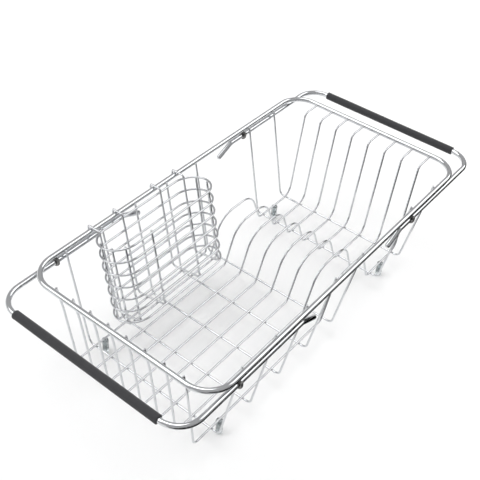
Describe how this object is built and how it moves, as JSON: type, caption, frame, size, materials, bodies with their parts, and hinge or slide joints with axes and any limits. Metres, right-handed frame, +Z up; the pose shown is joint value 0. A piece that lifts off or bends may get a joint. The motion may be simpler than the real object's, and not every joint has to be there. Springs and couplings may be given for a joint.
{
  "type": "dish drying rack",
  "caption": "Steel wire dish rack with a round rim, plate arches, sliding gripped arms that span a sink, clear feet and a hook-on utensil basket.",
  "frame": {"origin": "on the standing surface, under the middle of the rim", "axes": "+X along the rack towards the plate arches, +Y towards the side that the utensil basket hooks on, +Z up"},
  "size_m": [0.4498, 0.2094, 0.1236],
  "materials": {
    "steel": "polished stainless wire and rod",
    "grip_foam": "matt charcoal foam rubber sleeve",
    "clear_plastic": "clear soft plastic cap"
  },
  "bodies": {
    "basket": {"rim": "steel", "cross_wire_1": "steel", "cross_wire_2": "steel", "cross_wire_3": "steel", "cross_wire_4": "steel", "cross_wire_5": "steel", "cross_wire_6": "steel", "cross_wire_7": "steel", "floor_wire_1": "steel", "floor_wire_2": "steel", "floor_wire_3": "steel", "floor_wire_4": "steel", "floor_wire_5": "steel", "floor_wire_6": "steel", "floor_wire_7": "steel", "floor_wire_8": "steel", "guide_left_back": "steel", "guide_left_front": "steel", "guide_right_back": "steel", "guide_right_front": "steel", "foot_pin_left_back": "steel", "foot_pin_left_front": "steel", "foot_pin_right_back": "steel", "foot_pin_right_front": "steel", "foot_cap_left_back": "clear_plastic", "foot_cap_left_front": "clear_plastic", "foot_cap_right_back": "clear_plastic", "foot_cap_right_front": "clear_plastic"},
    "left_arm": {"left_arm": "steel", "left_grip": "grip_foam"},
    "right_arm": {"right_arm": "steel", "right_grip": "grip_foam"},
    "utensil_basket": {"holder_ring_1": "steel", "holder_ring_2": "steel", "holder_ring_3": "steel", "holder_ring_4": "steel", "holder_ring_5": "steel", "holder_ring_6": "steel", "holder_ring_7": "steel", "holder_hanger_1": "steel", "holder_hanger_2": "steel", "holder_hanger_3": "steel", "holder_hanger_4": "steel", "holder_end_wire_1": "steel", "holder_end_wire_2": "steel"}
  },
  "joints": [
    {"name": "left_arm_slide", "type": "slide", "parent": "basket", "child": "left_arm", "axis": [-1, 0, 0], "range_m": [-0.031, 0.077]},
    {"name": "right_arm_slide", "type": "slide", "parent": "basket", "child": "right_arm", "axis": [1, 0, 0], "range_m": [-0.031, 0.014]},
    {"name": "utensil_basket_lift", "type": "slide", "parent": "basket", "child": "utensil_basket", "axis": [0, 0, 1], "range_m": [0, 0.1]}
  ]
}
